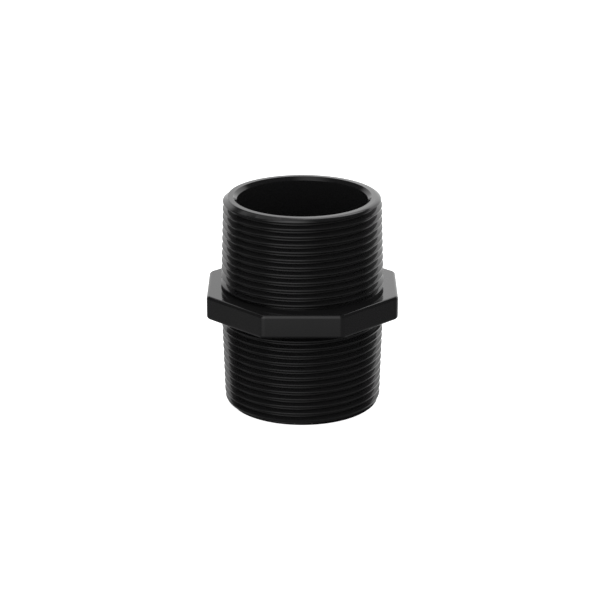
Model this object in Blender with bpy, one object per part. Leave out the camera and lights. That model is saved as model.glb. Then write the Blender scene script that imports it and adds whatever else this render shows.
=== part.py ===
"""Plastic pipe nipple: a male taper pipe thread, R 1 1/2, on either side of an eight-sided wrench collar.

Metres, +Z up. The origin is the centre of the bottom end face and the bore runs along Z.
The real object is one moulding. It is modelled as three sections that meet at the collar's two faces.
"""

import math

import bmesh
import bpy
from mathutils import Matrix

# Pipe thread R 1 1/2: 11 threads to the inch, 55 degree form, taper 1 in 16 on the diameter
PITCH = 0.0254 / 11
THREAD_DEPTH = 0.640327 * PITCH
FLANK_ANGLE = math.radians(27.5)
RADIUS_TAPER = 1 / 32
CREST_RADIUS_AT_COLLAR = 0.0246

# Lengths along the pipe's axis
LOWER_LENGTH = 0.0297
COLLAR_THICKNESS = 0.0073
UPPER_LENGTH = 0.0277

# Bore and its bevelled mouths
BORE_RADIUS = 0.0196
MOUTH_RADIUS = 0.0207
MOUTH_DEPTH = 0.0010

# Per end: how far the rounded lead-in narrows the end face and how far it reaches back from that face,
# the height of the plain neck at the collar, and the height of the nearest crest on the front (-Y)
LOWER_END = {"inset": 0.0016, "reach": 0.0030, "neck": 0.0012, "first_crest": 0.0025}
UPPER_END = {"inset": 0.0019, "reach": 0.0013, "neck": 0.0, "first_crest": 0.00148}
LEAD_IN_STEPS = 3
NECK_BELOW_ROOT = 0.0001
NECK_SHOULDER = 0.0005              # height of the cone from the neck up to the crests

# Wrench collar
FLATS = 8
ACROSS_FLATS = 0.0572
CORNER_ROUNDING = 0.0024            # radius of the eight upright corners
EDGE_ROUNDING = 0.0010              # radius of the top and bottom edges
ROUNDING_SEGMENTS = 2
RIM_EDGES_ABOVE = math.radians(60)

SEAM = 0.0003                       # gap between two sections
CUT_MARGIN = 0.0010                 # how far a cutter runs past what it cuts
OVER_CREST = 0.00002                # how far an end's envelope stands off its crests
STEPS_PER_TURN = 40
FRONT = -math.pi / 2
SMOOTH_BELOW = math.radians(35)

PLASTIC_COLOUR = (0.0105, 0.0105, 0.0108, 1.0)
PLASTIC_ROUGHNESS = 0.15

COLLAR_BOTTOM = LOWER_LENGTH
COLLAR_TOP = COLLAR_BOTTOM + COLLAR_THICKNESS


def clear_scene():
    for item in list(bpy.data.objects):
        bpy.data.objects.remove(item, do_unlink=True)


def black_plastic(name):
    material = bpy.data.materials.new(name)
    material.use_nodes = True
    shader = material.node_tree.nodes["Principled BSDF"]
    shader.inputs["Base Color"].default_value = PLASTIC_COLOUR
    shader.inputs["Roughness"].default_value = PLASTIC_ROUGHNESS
    shader.inputs["Metallic"].default_value = 0.0
    return material


def add_object(name, shape):
    """Turn a bmesh into an object of the scene, with its faces pointing out."""
    bmesh.ops.recalc_face_normals(shape, faces=shape.faces)
    mesh = bpy.data.meshes.new(name)
    shape.to_mesh(mesh)
    shape.free()
    mesh.shade_smooth()
    mesh.set_sharp_from_angle(angle=SMOOTH_BELOW)
    item = bpy.data.objects.new(name, mesh)
    bpy.context.scene.collection.objects.link(item)
    return item


def add_boolean(item, operation, cutter):
    """Cut or trim an object by another one, which stays out of the model."""
    cutter.parent = item
    cutter.hide_render = True
    cutter.display_type = "WIRE"
    modifier = item.modifiers.new(operation.lower(), "BOOLEAN")
    modifier.operation = operation
    modifier.solver = "EXACT"
    modifier.object = cutter


def turned_shape(outline):
    """Spin a closed outline of (radius, height) points around Z."""
    shape = bmesh.new()
    points = [shape.verts.new((radius, 0, height)) for radius, height in outline]
    for first, second in zip(points, points[1:] + points[:1]):
        shape.edges.new((first, second))
    bmesh.ops.spin(
        shape,
        geom=shape.verts[:] + shape.edges[:],
        cent=(0, 0, 0),
        axis=(0, 0, 1),
        angle=math.tau,
        steps=STEPS_PER_TURN,
        use_merge=True,
    )
    return shape


def crest_radius(height):
    """Radius over the threads at a height above the collar's face."""
    return CREST_RADIUS_AT_COLLAR - RADIUS_TAPER * height


def thread_profile():
    """(rise, depth) points of one thread, from the lower edge of its crest to the end of its root."""
    flank = THREAD_DEPTH * math.tan(FLANK_ANGLE)
    land = PITCH / 2 - flank
    return [
        (-land / 2, 0.0),
        (land / 2, 0.0),
        (land / 2 + flank, THREAD_DEPTH),
        (land * 3 / 2 + flank, THREAD_DEPTH),
    ]


def close_end(shape, edges, height):
    """Close a ragged end of the threaded bar with a cone of triangles to a point on its axis."""
    tip = shape.verts.new((0, 0, height))
    for edge in edges:
        shape.faces.new((edge.verts[0], edge.verts[1], tip))


def helix_points(shape, start, columns):
    """Columns of profile points that climb one pitch each turn, from the front, by the right-hand rule."""
    profile = thread_profile()
    grid = []
    for column in range(columns + STEPS_PER_TURN + 1):
        angle = FRONT + math.tau * column / STEPS_PER_TURN
        middle = start + PITCH * column / STEPS_PER_TURN
        wanted = profile if column <= columns else profile[:1]
        points = []
        for rise, depth in wanted:
            radius = crest_radius(middle + rise) - depth
            place = (radius * math.cos(angle), radius * math.sin(angle), middle + rise)
            points.append(shape.verts.new(place))
        grid.append(points)
    return grid


def threaded_bar(length, first_crest):
    """A solid taper bar with a helical thread that runs past both ends of the section."""
    turns_below = math.ceil(first_crest / PITCH) + 1
    start = first_crest - turns_below * PITCH
    turns = math.ceil((length - start) / PITCH) + 1
    columns = turns * STEPS_PER_TURN
    shape = bmesh.new()
    grid = helix_points(shape, start, columns)
    for column in range(columns):
        here = grid[column] + grid[column + STEPS_PER_TURN][:1]
        there = grid[column + 1] + grid[column + STEPS_PER_TURN + 1][:1]
        for low in range(len(here) - 1):
            shape.faces.new((here[low], there[low], there[low + 1], here[low + 1]))
    open_edges = [edge for edge in shape.edges if edge.is_boundary]
    lower = [edge for edge in open_edges if edge.verts[0].co.z < length / 2]
    upper = [edge for edge in open_edges if edge.verts[0].co.z >= length / 2]
    close_end(shape, lower, start - PITCH)
    close_end(shape, upper, start + (turns + 2) * PITCH)
    return shape


def over_crests(height):
    """A point of the envelope that just clears the crests."""
    return (crest_radius(height) + OVER_CREST, height)


def lead_in(length, inset, reach):
    """Quarter of an ellipse from the crests to the flat end face."""
    radius, start = over_crests(length - reach)
    points = []
    for step in range(LEAD_IN_STEPS + 1):
        turn = math.pi / 2 * step / LEAD_IN_STEPS
        points.append((radius - inset * (1 - math.cos(turn)), start + reach * math.sin(turn)))
    return points


def section_outline(length, end):
    """Outline of one threaded end: neck, clearance over the crests, lead-in, end face and bore."""
    foot = [over_crests(SEAM)]
    if end["neck"] > 0:
        neck = CREST_RADIUS_AT_COLLAR - THREAD_DEPTH - NECK_BELOW_ROOT
        foot = [(neck, SEAM), (neck, end["neck"]), over_crests(end["neck"] + NECK_SHOULDER)]
    return [
        (BORE_RADIUS, SEAM),
        *foot,
        *lead_in(length, end["inset"], end["reach"]),
        (MOUTH_RADIUS, length),
        (BORE_RADIUS, length - MOUTH_DEPTH),
    ]


def threaded_end(name, length, end):
    """One threaded end, standing on the collar's face at Z = 0 and growing along +Z."""
    item = add_object(name, threaded_bar(length, end["first_crest"]))
    item.data.materials.append(black_plastic(name + "_plastic"))
    envelope = add_object(name + "_envelope", turned_shape(section_outline(length, end)))
    add_boolean(item, "INTERSECT", envelope)
    return item


def octagon_plate():
    """The collar without its bore: an eight-sided plate, rounded at its corners, one flat facing the front."""
    shape = bmesh.new()
    corner_radius = ACROSS_FLATS / 2 / math.cos(math.pi / FLATS)
    bmesh.ops.create_cone(
        shape,
        cap_ends=True,
        segments=FLATS,
        radius1=corner_radius,
        radius2=corner_radius,
        depth=COLLAR_THICKNESS,
        matrix=Matrix.Rotation(math.pi / FLATS, 4, "Z"),
    )
    upright = [edge for edge in shape.edges if edge.verts[0].co.z * edge.verts[1].co.z < 0]
    bmesh.ops.bevel(
        shape,
        geom=upright,
        offset=CORNER_ROUNDING * math.tan(math.pi / FLATS),
        segments=ROUNDING_SEGMENTS,
        profile=0.5,
        affect="EDGES",
    )
    return shape


def wrench_collar():
    """The octagonal ring that a wrench turns, with its top and bottom edges rounded."""
    item = add_object("wrench_collar", octagon_plate())
    item.data.materials.append(black_plastic("wrench_collar_plastic"))
    rounding = item.modifiers.new("rounding", "BEVEL")
    rounding.width = EDGE_ROUNDING
    rounding.segments = ROUNDING_SEGMENTS
    rounding.limit_method = "ANGLE"
    rounding.angle_limit = RIM_EDGES_ABOVE
    half_cut = COLLAR_THICKNESS / 2 + CUT_MARGIN
    bore = bmesh.new()
    bmesh.ops.create_cone(
        bore,
        cap_ends=True,
        segments=STEPS_PER_TURN,
        radius1=BORE_RADIUS,
        radius2=BORE_RADIUS,
        depth=half_cut * 2,
    )
    add_boolean(item, "DIFFERENCE", add_object("collar_bore", bore))
    return item


def main():
    clear_scene()
    lower = threaded_end("lower_threaded_end", LOWER_LENGTH, LOWER_END)
    lower.location.z = COLLAR_BOTTOM
    lower.rotation_euler.y = math.pi
    collar = wrench_collar()
    collar.location.z = (COLLAR_BOTTOM + COLLAR_TOP) / 2
    upper = threaded_end("upper_threaded_end", UPPER_LENGTH, UPPER_END)
    upper.location.z = COLLAR_TOP


main()
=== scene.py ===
"""Looks of the plastic pipe nipple: fine threads, rounded wrench collar, moulded black plastic, studio.

Every size is in metres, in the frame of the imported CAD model, which fixes where each section lies.
"""

import math

import bmesh
import bpy
from mathutils import Matrix, Vector

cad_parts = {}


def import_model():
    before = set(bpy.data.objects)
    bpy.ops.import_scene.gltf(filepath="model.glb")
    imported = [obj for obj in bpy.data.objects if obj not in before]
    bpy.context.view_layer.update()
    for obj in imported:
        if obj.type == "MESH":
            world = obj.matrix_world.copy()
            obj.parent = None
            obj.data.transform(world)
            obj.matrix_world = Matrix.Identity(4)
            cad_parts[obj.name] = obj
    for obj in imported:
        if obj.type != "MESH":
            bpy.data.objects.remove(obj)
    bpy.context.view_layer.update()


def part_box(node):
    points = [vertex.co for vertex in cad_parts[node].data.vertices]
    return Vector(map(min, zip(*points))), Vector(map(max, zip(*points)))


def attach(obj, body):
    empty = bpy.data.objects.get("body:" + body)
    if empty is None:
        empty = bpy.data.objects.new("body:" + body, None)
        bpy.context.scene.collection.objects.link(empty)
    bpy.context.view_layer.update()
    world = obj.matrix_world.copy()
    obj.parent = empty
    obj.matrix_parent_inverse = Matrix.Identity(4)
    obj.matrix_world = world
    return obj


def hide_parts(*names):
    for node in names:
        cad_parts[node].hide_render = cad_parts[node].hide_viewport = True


MM = 0.001

# Pipe thread R 1 1/2
PITCH = 25.4 * MM / 11
THREAD_DEPTH = 0.640327 * PITCH
FLANK_ANGLE = math.radians(27.5)
RADIUS_TAPER = 1 / 32
CREST_ROUNDING = 0.09 * MM
ROOT_ROUNDING = 0.12 * MM
ROUNDING_STEPS = 3
STEPS_PER_TURN = 192
FRONT = -math.pi / 2

# Threaded ends
BORE_RADIUS = 19.6 * MM
MOUTH_RADIUS = 20.7 * MM
MOUTH_DEPTH = 1.0 * MM
RIM_ROUNDING = 0.10 * MM
NECK_BELOW_ROOT = 0.10 * MM
SHOULDER_HEIGHT = 0.5 * MM          # height of the cone from the neck up to the crests
LEAD_IN_STEPS = 12
OVER_CREST = 0.02 * MM              # how far an end's envelope stands off its crests
CREST_RADIUS_AT_COLLAR = 24.6 * MM
TIP_BEYOND = 4 * PITCH              # how far the bar's closing cone runs past the end face

# Per end, as in the CAD model: how far the rounded lead-in narrows the end face and how far it reaches back,
# the height of the plain neck at the collar, and the height of the nearest crest on the front
LOWER_END = {"inset": 1.6 * MM, "reach": 3.0 * MM, "neck": 1.2 * MM, "first_crest": 2.5 * MM}
UPPER_END = {"inset": 1.9 * MM, "reach": 1.3 * MM, "neck": 0.0, "first_crest": 1.48 * MM}

# Fillet where a threaded end meets the collar
FILLET_RADIUS = 0.25 * MM
FILLET_STEPS = 6
FILLET_BITE = 0.5 * MM              # how far the fillet's ring reaches into the wall

# Collar
FLATS = 8
EDGE_ROUNDING = 1.0 * MM
CORNER_ROUNDING = 2.4 * MM
EDGE_SEGMENTS = 6
CUT_MARGIN = 1.0 * MM               # how far the bore's cutter runs past each face

# Shading
SHARP_ABOVE = math.radians(38)
LARGE_FACE_WEIGHT = 100             # lets the flat faces set the direction of the normals at their edges

# Plastic
PLASTIC_COLOUR = (0.0105, 0.0105, 0.0108, 1)
PLASTIC_IOR = 1.5
ROUGHNESS = 0.11
ROUGHNESS_SPREAD = 0.03
CLOUD = {"Scale": 90.0, "Detail": 3.0}          # slow changes of the gloss
CLOUD_RANGE = (0.3, 0.7)
GRAIN = {"Scale": 5200.0, "Detail": 2.0}        # fine relief of the moulded surface
GRAIN_STRENGTH = 0.02
GRAIN_HEIGHT = 0.02 * MM

# Rubbed patches on the thread crests
SCUFF = {"Scale": 700.0, "Detail": 4.0}
SCUFF_RANGE = (0.40, 0.75)
SCUFF_COLOUR = (0.014, 0.014, 0.0143, 1)
SCUFF_TINT = 0.6
SCUFF_ROUGHNESS = 0.06
SCUFF_DEPTH = 0.12 * MM             # how far below a crest the rubbing reaches
SCUFF_START = 0.5 * MM              # how far from the collar it is in full

# Light on matt surfaces: an even dome that is dimmer from below
DOME_STRENGTH = 1.0
DOME_BELOW = DOME_STRENGTH / 4
DOME_FADE = (-70, -15)
BACKDROP_STRENGTH = 1.2

# Light in the gloss: soft lights, each with a strength and the ramps that shape it.
# A ramp is (measure, start, end), which rises from 0 to 1. Two more numbers are its values at start and end.
# The measures are degrees. "turn" goes round from the front (-Y) to the right (+X), and is negative
# to the left. "around" is the same without its sign, and "climb" is the height above the horizon.
# The overhead strip uses the direction's own x and z instead.
FRONT_SIDES = [("turn", -62, -36), ("turn", 34, -20), ("climb", 80, 54)]
WALL_FOOT = ("climb", -44, -20)
WALL_LOW = ("climb", 24, 4)
WALL_HIGH = ("climb", 4, 24)
AMBIENT_GLOSS = 0.02
GLOSS_LIGHTS = {
    "table": (1.0, [
        ("climb", 4, -8), ("climb", -66, -40),
        ("turn", 60, -60, 0.085, 0.155), ("around", 92, 112, 1.0, 0.35),
    ]),
    "front_low": (1.0, [*FRONT_SIDES, ("climb", -25, -19, 0, 0.37)]),
    "front_high": (1.0, [*FRONT_SIDES, ("climb", -14, 6, 0, 0.85)]),
    "overhead_strip": (0.52, [("x", -0.50, -0.22), ("x", 0.22, -0.06), ("z", 0.6, 0.8)]),
    "side_fill": (0.16, [("around", 88, 104), ("climb", -66, -44), ("climb", -26, -34)]),
    "right_wall_low": (1.0, [("turn", 98, 134), WALL_FOOT, WALL_LOW, ("turn", 145, 165, 1.15, 0.9)]),
    "right_wall_high": (1.0, [("turn", 110, 142), WALL_HIGH, ("climb", 37, 31)]),
    "left_wall_low": (0.66, [("turn", -116, -134), WALL_FOOT, WALL_LOW]),
    "left_wall_high": (0.8, [("turn", -130, -150), WALL_HIGH, ("climb", 32, 26)]),
    "back_wall": (0.35, [("around", 148, 165), WALL_FOOT, ("climb", 62, 50)]),
    "back_panel": (1.0, [
        ("around", 142, 150), ("climb", 36, 41), ("climb", 60, 50),
        ("turn", -10, 10, 0.7, 1.7),
    ]),
}

# Floor
FLOOR_HALF_SIZE = 3.0
FLOOR_DROP = 0.02 * MM              # keeps the floor clear of the end face
FLOOR_COLOUR = (0.9, 0.9, 0.9, 1)
FLOOR_ROUGHNESS = 0.8
FLOOR_GLOW = 0.85

# Camera
CAMERA_PITCH = 19.78
CAMERA_TARGET_HEIGHT = 31.65 * MM
CAMERA_DISTANCE = 0.6336
LENS = 125.2
SENSOR_WIDTH = 36.0
SHIFT_X = -0.004


def polar(radius, angle, height):
    return Vector((radius * math.cos(angle), radius * math.sin(angle), height))


def rounded(corners, radii):
    """A closed outline whose corners are replaced by arcs. A radius of zero keeps its corner sharp."""
    outline = []
    count = len(corners)
    for index, (corner, radius) in enumerate(zip(corners, radii)):
        here = Vector(corner)
        if radius == 0:
            outline.append(here)
            continue
        back = (Vector(corners[index - 1]) - here).normalized()
        ahead = (Vector(corners[(index + 1) % count]) - here).normalized()
        half = back.angle(ahead) / 2
        middle = here + (back + ahead).normalized() * radius / math.sin(half)
        first = here + back * radius / math.tan(half) - middle
        last = here + ahead * radius / math.tan(half) - middle
        turn = first.angle_signed(last)
        for step in range(ROUNDING_STEPS + 1):
            outline.append(middle + Matrix.Rotation(-turn * step / ROUNDING_STEPS, 2) @ first)
    return outline


def mesh_object(name, shape):
    """Turn a bmesh into an object of the scene, with its faces pointing out."""
    bmesh.ops.recalc_face_normals(shape, faces=shape.faces)
    mesh = bpy.data.meshes.new(name)
    shape.to_mesh(mesh)
    shape.free()
    item = bpy.data.objects.new(name, mesh)
    bpy.context.scene.collection.objects.link(item)
    return item


def turned(name, outline):
    """A solid ring, from a closed outline of (radius, height) points spun around Z."""
    shape = bmesh.new()
    points = [shape.verts.new((radius, 0, height)) for radius, height in outline]
    for first, second in zip(points, points[1:] + points[:1]):
        shape.edges.new((first, second))
    bmesh.ops.spin(
        shape,
        geom=shape.verts[:] + shape.edges[:],
        cent=(0, 0, 0),
        axis=(0, 0, 1),
        angle=math.tau,
        steps=STEPS_PER_TURN,
        use_merge=True,
    )
    return mesh_object(name, shape)


def apply_modifiers(item):
    depsgraph = bpy.context.evaluated_depsgraph_get()
    old = item.data
    item.data = bpy.data.meshes.new_from_object(item.evaluated_get(depsgraph))
    item.data.name = item.name
    item.modifiers.clear()
    bpy.data.meshes.remove(old)


def combine(item, operation, other):
    """Apply a Boolean with another object, and remove that object."""
    modifier = item.modifiers.new(operation, "BOOLEAN")
    modifier.operation = operation
    modifier.solver = "EXACT"
    modifier.object = other
    apply_modifiers(item)
    bpy.data.objects.remove(other, do_unlink=True)


def finish_shading(item):
    """Smooth shading with true edges kept sharp and the flat faces kept flat."""
    item.data.shade_smooth()
    item.data.set_sharp_from_angle(angle=SHARP_ABOVE)
    weights = item.modifiers.new("weighted_normals", "WEIGHTED_NORMAL")
    weights.keep_sharp = True
    weights.weight = LARGE_FACE_WEIGHT
    apply_modifiers(item)


def thread_profile():
    """(depth, rise) points of one thread, from the middle of one root up to the edge of the next.

    The middle of the next root is left out, because it is the first point of the next thread.
    So is the corner inside the wall, which only closes the outline while its corners are rounded.
    """
    flank = THREAD_DEPTH * math.tan(FLANK_ANGLE)
    land = PITCH / 2 - flank
    root, crest = THREAD_DEPTH, 0.0
    corners = [
        (root, -PITCH / 2),
        (root, -land / 2 - flank),
        (crest, -land / 2),
        (crest, land / 2),
        (root, land / 2 + flank),
        (root, PITCH / 2),
        (root + THREAD_DEPTH, 0),
    ]
    radii = [0, ROOT_ROUNDING, CREST_ROUNDING, CREST_ROUNDING, ROOT_ROUNDING, 0, 0]
    next_root_and_wall = 2
    return rounded(corners, radii)[:-next_root_and_wall]


def threaded_bar(name, length, first_crest):
    """A taper bar with a right-hand helical thread that runs past both ends of the section.

    Its columns of profile points climb one pitch each turn. A cone of triangles closes either ragged end.
    """
    profile = thread_profile()
    start = first_crest - PITCH * (math.ceil(first_crest / PITCH) + 1)
    turns = math.ceil((length - start) / PITCH) + 1
    columns = turns * STEPS_PER_TURN
    shape = bmesh.new()
    grid = []
    for column in range(columns + STEPS_PER_TURN + 1):
        angle = FRONT + math.tau * column / STEPS_PER_TURN
        middle = start + PITCH * column / STEPS_PER_TURN
        points = []
        for depth, rise in profile if column <= columns else profile[:1]:
            height = middle + rise
            radius = CREST_RADIUS_AT_COLLAR - RADIUS_TAPER * height - depth
            points.append(shape.verts.new(polar(radius, angle, height)))
        grid.append(points)
    for column in range(columns):
        here = grid[column] + grid[column + STEPS_PER_TURN][:1]
        there = grid[column + 1] + grid[column + STEPS_PER_TURN + 1][:1]
        for low in range(len(here) - 1):
            shape.faces.new((here[low], there[low], there[low + 1], here[low + 1]))
    open_edges = [edge for edge in shape.edges if edge.is_boundary]
    tips = (shape.verts.new((0, 0, start - PITCH)), shape.verts.new((0, 0, length + TIP_BEYOND)))
    for edge in open_edges:
        tip = tips[edge.verts[0].co.z > length / 2]
        shape.faces.new((edge.verts[0], edge.verts[1], tip))
    return mesh_object(name, shape)


def lead_in(radius, length, inset, reach):
    """Quarter of an ellipse from the crests to the flat end face."""
    points = []
    for step in range(LEAD_IN_STEPS + 1):
        turn = math.pi / 2 * step / LEAD_IN_STEPS
        points.append((radius - inset * (1 - math.cos(turn)), length - reach * (1 - math.sin(turn))))
    return points


def threaded_end(name, length, end):
    """One threaded end, standing on the collar's face at Z = 0 and growing along +Z."""
    item = threaded_bar(name, length, end["first_crest"])
    over = CREST_RADIUS_AT_COLLAR + OVER_CREST
    neck = CREST_RADIUS_AT_COLLAR - THREAD_DEPTH - NECK_BELOW_ROOT
    shoulder = end["neck"] + SHOULDER_HEIGHT
    foot = [(over, 0)]
    if end["neck"] > 0:
        foot = [(neck, 0), (neck, end["neck"]), (over - RADIUS_TAPER * shoulder, shoulder)]
    reach = end["reach"]
    corners = [
        (BORE_RADIUS, 0),
        *foot,
        *lead_in(over - RADIUS_TAPER * (length - reach), length, end["inset"], reach),
        (MOUTH_RADIUS, length),
        (BORE_RADIUS, length - MOUTH_DEPTH),
    ]
    radii = [0] * (len(corners) - 2) + [RIM_ROUNDING] * 2       # only the mouth's two corners are rounded
    combine(item, "INTERSECT", turned(name + "_envelope", rounded(corners, radii)))
    combine(item, "UNION", turned(name + "_fillet", concave_fillet(neck)))
    return item


def concave_fillet(neck):
    """Outline of a ring that fills the corner between the neck and the collar with a quarter-round."""
    outline = [(neck - FILLET_BITE, 0.0)]
    for step in range(FILLET_STEPS + 1):
        turn = math.pi / 2 * step / FILLET_STEPS
        radius = neck + FILLET_RADIUS * (1 - math.sin(turn))
        outline.append((radius, FILLET_RADIUS * (1 - math.cos(turn))))
    outline.append((neck - FILLET_BITE, FILLET_RADIUS))
    return outline


def round_edges(shape, edges, offset):
    """Turn edges into arcs that start at the offset from them."""
    bmesh.ops.bevel(shape, geom=edges, offset=offset, segments=EDGE_SEGMENTS, profile=0.5, affect="EDGES")


def octagon_plate(name, across_flats, thickness):
    """The collar without its bore: an eight-sided plate with rounded corners, one flat facing the front."""
    shape = bmesh.new()
    corner_radius = across_flats / 2 / math.cos(math.pi / FLATS)
    bmesh.ops.create_cone(
        shape,
        cap_ends=True,
        segments=FLATS,
        radius1=corner_radius,
        radius2=corner_radius,
        depth=thickness,
        matrix=Matrix.Rotation(math.pi / FLATS, 4, "Z"),
    )
    upright = [edge for edge in shape.edges if abs(edge.verts[0].co.z - edge.verts[1].co.z) > thickness / 2]
    round_edges(shape, upright, CORNER_ROUNDING * math.tan(math.pi / FLATS))
    rims = [edge for edge in shape.edges if abs(edge.verts[0].co.z - edge.verts[1].co.z) < thickness / 2]
    round_edges(shape, rims, EDGE_ROUNDING)
    return mesh_object(name, shape)


def wrench_collar(name, across_flats, thickness):
    """The octagonal ring that a wrench turns, with its middle at Z = 0."""
    item = octagon_plate(name, across_flats, thickness)
    half = thickness / 2 + CUT_MARGIN
    inner = BORE_RADIUS / 2
    outline = [(inner, -half), (BORE_RADIUS, -half), (BORE_RADIUS, half), (inner, half)]
    combine(item, "DIFFERENCE", turned(name + "_bore", outline))
    return item


class Graph:
    """Short names for the nodes that a material or the world needs."""

    def __init__(self, tree):
        self.tree = tree

    def node(self, kind, **settings):
        made = self.tree.nodes.new(kind)
        for key, value in settings.items():
            setattr(made, key, value)
        return made

    def join(self, source, target):
        """Link a node's output to a socket, or set the socket to a number."""
        if isinstance(source, (int, float)):
            target.default_value = source
        else:
            self.tree.links.new(source, target)

    def math(self, operation, *sources):
        made = self.node("ShaderNodeMath", operation=operation)
        for source, target in zip(sources, made.inputs):
            self.join(source, target)
        return made.outputs[0]

    def ramp(self, value, start, end, at_start=0.0, at_end=1.0):
        """A smooth step as the value goes from start to end."""
        made = self.node("ShaderNodeMapRange", interpolation_type="SMOOTHSTEP")
        for source, target in zip((value, start, end, at_start, at_end), made.inputs):
            self.join(source, target)
        return made.outputs[0]

    def product(self, *factors):
        result = factors[0]
        for factor in factors[1:]:
            result = self.math("MULTIPLY", result, factor)
        return result

    def total(self, *terms):
        result = terms[0]
        for term in terms[1:]:
            result = self.math("ADD", result, term)
        return result

    def axes(self, vector):
        parts = self.node("ShaderNodeSeparateXYZ")
        self.join(vector, parts.inputs[0])
        return parts.outputs

    def noise(self, place, settings):
        made = self.node("ShaderNodeTexNoise")
        self.join(place, made.inputs["Vector"])
        for name, value in settings.items():
            made.inputs[name].default_value = value
        return made.outputs["Fac"]


def black_plastic(name, collar_bottom, collar_top):
    """Moulded black plastic: faint grain, uneven gloss, and thread crests rubbed a little duller."""
    material = bpy.data.materials.new(name)
    material.use_nodes = True
    graph = Graph(material.node_tree)
    shader = material.node_tree.nodes["Principled BSDF"]
    place = graph.node("ShaderNodeTexCoord").outputs["Object"]
    x, y, z = graph.axes(place)

    # How near a point is to the cone over the crests, and so how much it has been rubbed
    radius = graph.math("SQRT", graph.total(graph.product(x, x), graph.product(y, y)))
    above = graph.math("SUBTRACT", z, collar_top)
    below = graph.math("SUBTRACT", collar_bottom, z)
    away = graph.math("MAXIMUM", graph.math("MAXIMUM", above, below), 0.0)
    over_crest = graph.math("SUBTRACT", radius, CREST_RADIUS_AT_COLLAR)
    from_crest = graph.total(over_crest, graph.product(away, RADIUS_TAPER))
    crest = graph.product(graph.ramp(from_crest, -SCUFF_DEPTH, 0.0), graph.ramp(away, 0.0, SCUFF_START))
    scuffed = graph.product(graph.ramp(graph.noise(place, SCUFF), *SCUFF_RANGE), crest)

    duller, glossier = ROUGHNESS + ROUGHNESS_SPREAD, ROUGHNESS - ROUGHNESS_SPREAD
    gloss = graph.ramp(graph.noise(place, CLOUD), *CLOUD_RANGE, glossier, duller)
    graph.join(graph.total(gloss, graph.product(scuffed, SCUFF_ROUGHNESS)), shader.inputs["Roughness"])

    tint = graph.node("ShaderNodeMix", data_type="RGBA")
    graph.join(graph.product(scuffed, SCUFF_TINT), tint.inputs["Factor"])
    tint.inputs["A"].default_value = PLASTIC_COLOUR
    tint.inputs["B"].default_value = SCUFF_COLOUR
    graph.join(tint.outputs["Result"], shader.inputs["Base Color"])

    bump = graph.node("ShaderNodeBump")
    bump.inputs["Strength"].default_value = GRAIN_STRENGTH
    bump.inputs["Distance"].default_value = GRAIN_HEIGHT
    graph.join(graph.noise(place, GRAIN), bump.inputs["Height"])
    graph.join(bump.outputs["Normal"], shader.inputs["Normal"])
    shader.inputs["Metallic"].default_value = 0.0
    shader.inputs["IOR"].default_value = PLASTIC_IOR
    return material


def gloss_light(graph, measures, strength, ramps):
    """One soft light: its strength times all of its ramps."""
    shape = [graph.ramp(measures[name], *ends) for name, *ends in ramps]
    return graph.product(*shape, strength)


def studio_world():
    """Plain white seen directly, an even dome for matt light, and soft lights for the gloss to mirror."""
    world = bpy.data.worlds.new("studio")
    bpy.context.scene.world = world
    world.use_nodes = True
    graph = Graph(world.node_tree)
    background = world.node_tree.nodes["Background"]
    x, y, z = graph.axes(graph.node("ShaderNodeTexCoord").outputs["Generated"])
    turn = graph.math("DEGREES", graph.math("ARCTAN2", x, graph.product(y, -1.0)))
    around = graph.math("ABSOLUTE", turn)
    climb = graph.math("DEGREES", graph.math("ARCSINE", z))
    measures = {"x": x, "z": z, "turn": turn, "around": around, "climb": climb}

    lights = [gloss_light(graph, measures, *light) for light in GLOSS_LIGHTS.values()]
    path = graph.node("ShaderNodeLightPath").outputs
    lit = graph.node("ShaderNodeMix", data_type="FLOAT")
    graph.join(path["Is Glossy Ray"], lit.inputs["Factor"])
    graph.join(graph.ramp(climb, *DOME_FADE, DOME_BELOW, DOME_STRENGTH), lit.inputs["A"])
    graph.join(graph.total(*lights, AMBIENT_GLOSS), lit.inputs["B"])
    shown = graph.node("ShaderNodeMix", data_type="FLOAT")
    graph.join(path["Is Camera Ray"], shown.inputs["Factor"])
    graph.join(lit.outputs["Result"], shown.inputs["A"])
    shown.inputs["B"].default_value = BACKDROP_STRENGTH
    graph.join(shown.outputs["Result"], background.inputs["Strength"])
    background.inputs["Color"].default_value = (1, 1, 1, 1)


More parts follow.
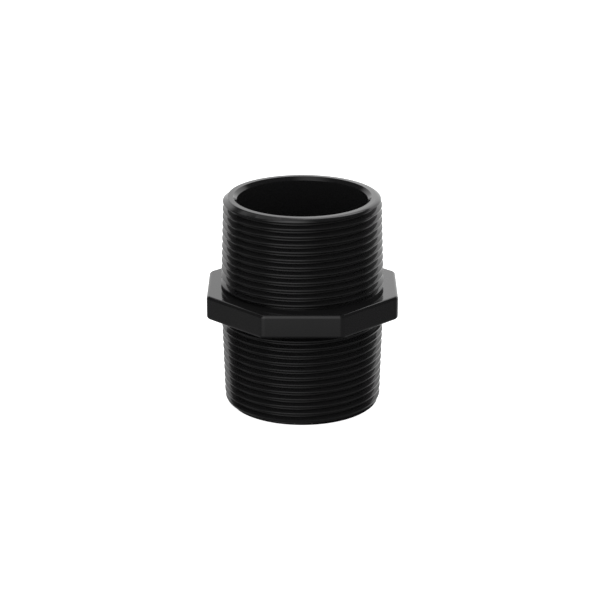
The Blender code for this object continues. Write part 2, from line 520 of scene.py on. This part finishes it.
def pale_floor():
    """A plain floor that glows a little, and that neither the gloss nor the matt light of the part sees."""
    shape = bmesh.new()
    bmesh.ops.create_grid(shape, x_segments=1, y_segments=1, size=FLOOR_HALF_SIZE)
    floor = mesh_object("floor", shape)
    floor.location.z = -FLOOR_DROP
    material = bpy.data.materials.new("floor_white")
    material.use_nodes = True
    shader = material.node_tree.nodes["Principled BSDF"]
    shader.inputs["Base Color"].default_value = FLOOR_COLOUR
    shader.inputs["Roughness"].default_value = FLOOR_ROUGHNESS
    shader.inputs["Emission Color"].default_value = (1, 1, 1, 1)
    shader.inputs["Emission Strength"].default_value = FLOOR_GLOW
    floor.data.materials.append(material)
    floor.visible_glossy = False
    floor.visible_diffuse = False


def camera():
    """A long lens that looks down at the part from the front."""
    data = bpy.data.cameras.new("camera")
    data.lens = LENS
    data.sensor_width = SENSOR_WIDTH
    data.shift_x = SHIFT_X
    item = bpy.data.objects.new("camera", data)
    bpy.context.scene.collection.objects.link(item)
    target = Vector((0, 0, CAMERA_TARGET_HEIGHT))
    pitch = math.radians(CAMERA_PITCH)
    item.location = target + Vector((0, -math.cos(pitch), math.sin(pitch))) * CAMERA_DISTANCE
    item.rotation_euler = (math.pi / 2 - pitch, 0, 0)
    bpy.context.scene.camera = item


def main():
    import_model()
    collar_low, collar_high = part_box("wrench_collar")
    lower_low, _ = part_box("lower_threaded_end")
    _, upper_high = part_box("upper_threaded_end")

    lower = threaded_end("lower_thread", collar_low.z - lower_low.z, LOWER_END)
    lower.data.transform(Matrix.Translation((0, 0, collar_low.z)) @ Matrix.Rotation(math.pi, 4, "Y"))
    upper = threaded_end("upper_thread", upper_high.z - collar_high.z, UPPER_END)
    upper.data.transform(Matrix.Translation((0, 0, collar_high.z)))
    collar = wrench_collar("octagon_collar", collar_high.x - collar_low.x, collar_high.z - collar_low.z)
    collar.data.transform(Matrix.Translation((0, 0, (collar_low.z + collar_high.z) / 2)))

    pieces = ((lower, "lower_threaded_end"), (collar, "wrench_collar"), (upper, "upper_threaded_end"))
    for piece, node in pieces:
        finish_shading(piece)
        piece.data.materials.clear()
        piece.data.materials.append(black_plastic(piece.name, collar_low.z, collar_high.z))
        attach(piece, "root")
        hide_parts(node)

    studio_world()
    pale_floor()
    camera()
    bpy.context.scene.view_settings.view_transform = "Standard"


main()
